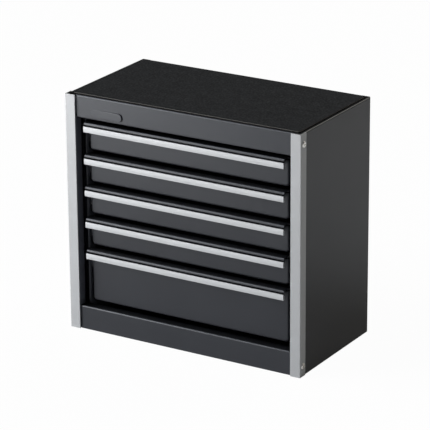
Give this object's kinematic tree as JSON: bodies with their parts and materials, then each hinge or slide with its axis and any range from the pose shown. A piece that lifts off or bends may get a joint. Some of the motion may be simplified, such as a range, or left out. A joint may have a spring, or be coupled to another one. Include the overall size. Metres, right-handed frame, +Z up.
{
  "type": "mini tool chest",
  "caption": "Bench-top steel tool chest with silver corner trims, a rubber mat on top, and shallow and deep drawers that slide out by full-width pull strips.",
  "frame": {"origin": "middle of the footprint, on the surface that the chest stands on", "axes": "+X to the right seen from the front, +Y from the drawers to the back, +Z up"},
  "size_m": [0.3268, 0.17, 0.301],
  "materials": {
    "cabinet_paint": "satin black powder coat",
    "drawer_paint": "satin black powder coat",
    "corner_silver": "satin silver",
    "pull_aluminium": "brushed silver",
    "mat_rubber": "fine-grained black rubber",
    "liner_foam": "matt black foam",
    "rail_steel": "zinc plated",
    "screw_zinc": "zinc plated"
  },
  "bodies": {
    "cabinet": {"side_panel_left": "cabinet_paint", "side_panel_right": "cabinet_paint", "back_panel": "cabinet_paint", "top_panel": "cabinet_paint", "bottom_panel": "cabinet_paint", "header_rail": "cabinet_paint", "kick_plate": "cabinet_paint", "corner_trim_left": "corner_silver", "corner_trim_right": "corner_silver", "trim_screws": "screw_zinc", "top_mat": "mat_rubber", "front_upright_left": "cabinet_paint", "front_upright_right": "cabinet_paint", "rear_upright_left": "cabinet_paint", "rear_upright_right": "cabinet_paint", "drawer_1_fixed_rail_left": "rail_steel", "drawer_1_fixed_rail_right": "rail_steel", "drawer_2_fixed_rail_left": "rail_steel", "drawer_2_fixed_rail_right": "rail_steel", "drawer_3_fixed_rail_left": "rail_steel", "drawer_3_fixed_rail_right": "rail_steel", "drawer_4_fixed_rail_left": "rail_steel", "drawer_4_fixed_rail_right": "rail_steel", "drawer_5_fixed_rail_left": "rail_steel", "drawer_5_fixed_rail_right": "rail_steel"},
    "drawer_1": {"drawer_1_front": "drawer_paint", "drawer_1_pull_strip": "pull_aluminium", "drawer_1_tray": "drawer_paint", "drawer_1_liner": "liner_foam", "drawer_1_sliding_rail_left": "rail_steel", "drawer_1_sliding_rail_right": "rail_steel"},
    "drawer_2": {"drawer_2_front": "drawer_paint", "drawer_2_pull_strip": "pull_aluminium", "drawer_2_tray": "drawer_paint", "drawer_2_liner": "liner_foam", "drawer_2_sliding_rail_left": "rail_steel", "drawer_2_sliding_rail_right": "rail_steel"},
    "drawer_3": {"drawer_3_front": "drawer_paint", "drawer_3_pull_strip": "pull_aluminium", "drawer_3_tray": "drawer_paint", "drawer_3_liner": "liner_foam", "drawer_3_sliding_rail_left": "rail_steel", "drawer_3_sliding_rail_right": "rail_steel"},
    "drawer_4": {"drawer_4_front": "drawer_paint", "drawer_4_pull_strip": "pull_aluminium", "drawer_4_tray": "drawer_paint", "drawer_4_liner": "liner_foam", "drawer_4_sliding_rail_left": "rail_steel", "drawer_4_sliding_rail_right": "rail_steel"},
    "drawer_5": {"drawer_5_front": "drawer_paint", "drawer_5_pull_strip": "pull_aluminium", "drawer_5_tray": "drawer_paint", "drawer_5_liner": "liner_foam", "drawer_5_sliding_rail_left": "rail_steel", "drawer_5_sliding_rail_right": "rail_steel"}
  },
  "joints": [
    {"name": "drawer_1_slide", "type": "slide", "parent": "cabinet", "child": "drawer_1", "axis": [0, -1, 0], "range_m": [0, 0.1028]},
    {"name": "drawer_2_slide", "type": "slide", "parent": "cabinet", "child": "drawer_2", "axis": [0, -1, 0], "range_m": [0, 0.1028]},
    {"name": "drawer_3_slide", "type": "slide", "parent": "cabinet", "child": "drawer_3", "axis": [0, -1, 0], "range_m": [0, 0.1028]},
    {"name": "drawer_4_slide", "type": "slide", "parent": "cabinet", "child": "drawer_4", "axis": [0, -1, 0], "range_m": [0, 0.1028]},
    {"name": "drawer_5_slide", "type": "slide", "parent": "cabinet", "child": "drawer_5", "axis": [0, -1, 0], "range_m": [0, 0.1028]}
  ]
}
